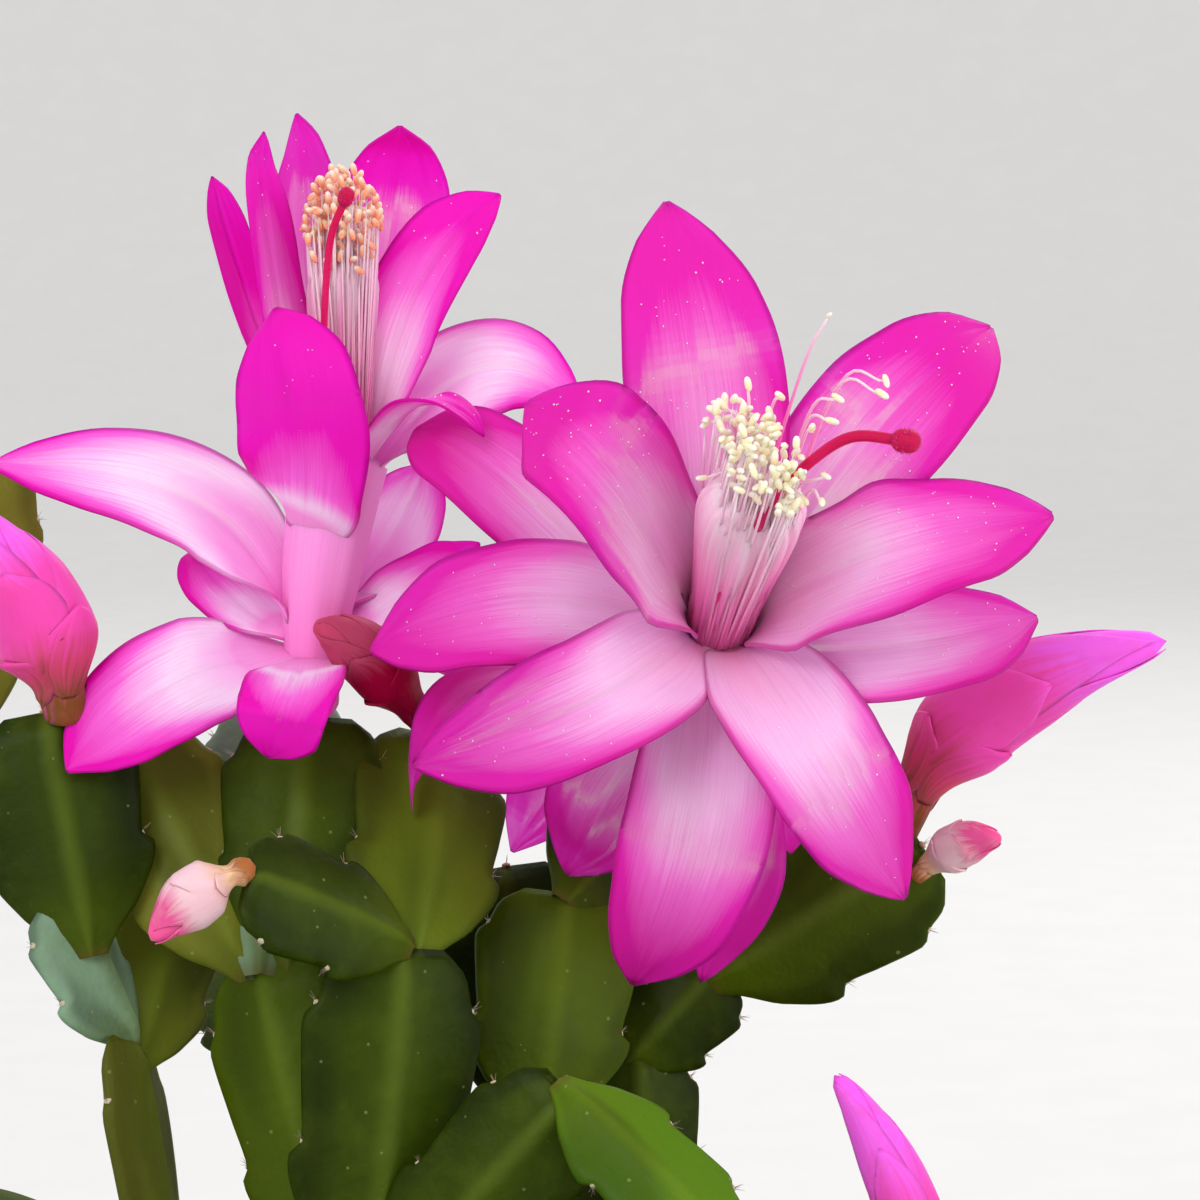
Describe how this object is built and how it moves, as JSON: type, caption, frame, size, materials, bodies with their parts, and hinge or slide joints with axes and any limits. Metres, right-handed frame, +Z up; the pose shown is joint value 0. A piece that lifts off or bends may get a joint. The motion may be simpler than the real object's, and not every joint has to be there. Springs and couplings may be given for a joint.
{
  "type": "potted christmas cactus",
  "caption": "Christmas cactus in bloom: flat jointed green stems arch from a round clay pot and carry open pink blooms and closed buds.",
  "frame": {"origin": "middle of the flat underside of the pot", "axes": "+Z up along the pot's axis, -Y towards the viewer of the picture, +X to the viewer's right"},
  "size_m": [0.2273, 0.1893, 0.2261],
  "materials": {
    "terracotta": "matte",
    "soil": "matte",
    "stem": "waxy",
    "petal": "satin",
    "stamen": "matte",
    "style": "satin",
    "bud": "satin"
  },
  "bodies": {
    "root": {"pot": "terracotta", "soil": "soil", "bloom_back_petals": "petal", "bloom_back_stamens": "stamen", "bloom_back_style": "style", "bloom_front_petals": "petal", "bloom_front_stamens": "stamen", "bloom_front_style": "style", "bloom_low_petals": "petal", "bloom_low_stamens": "stamen", "bloom_low_style": "style", "bloom_side_petals": "petal", "bloom_side_stamens": "stamen", "bloom_side_style": "style", "bud_back": "bud", "bud_dark": "bud", "bud_left": "bud", "bud_left_small": "bud", "bud_right": "bud", "bud_right_low": "bud", "bud_right_small": "bud", "bud_side": "bud", "stem_back": "stem", "stem_back_left": "stem", "stem_front": "stem", "stem_front_left": "stem", "stem_front_right": "stem", "stem_left": "stem", "stem_left_back": "stem", "stem_left_low": "stem", "stem_left_side": "stem", "stem_low_back": "stem", "stem_middle": "stem", "stem_right": "stem", "stem_right_back": "stem", "stem_right_low": "stem", "stem_right_side": "stem"}
  },
  "joints": []
}
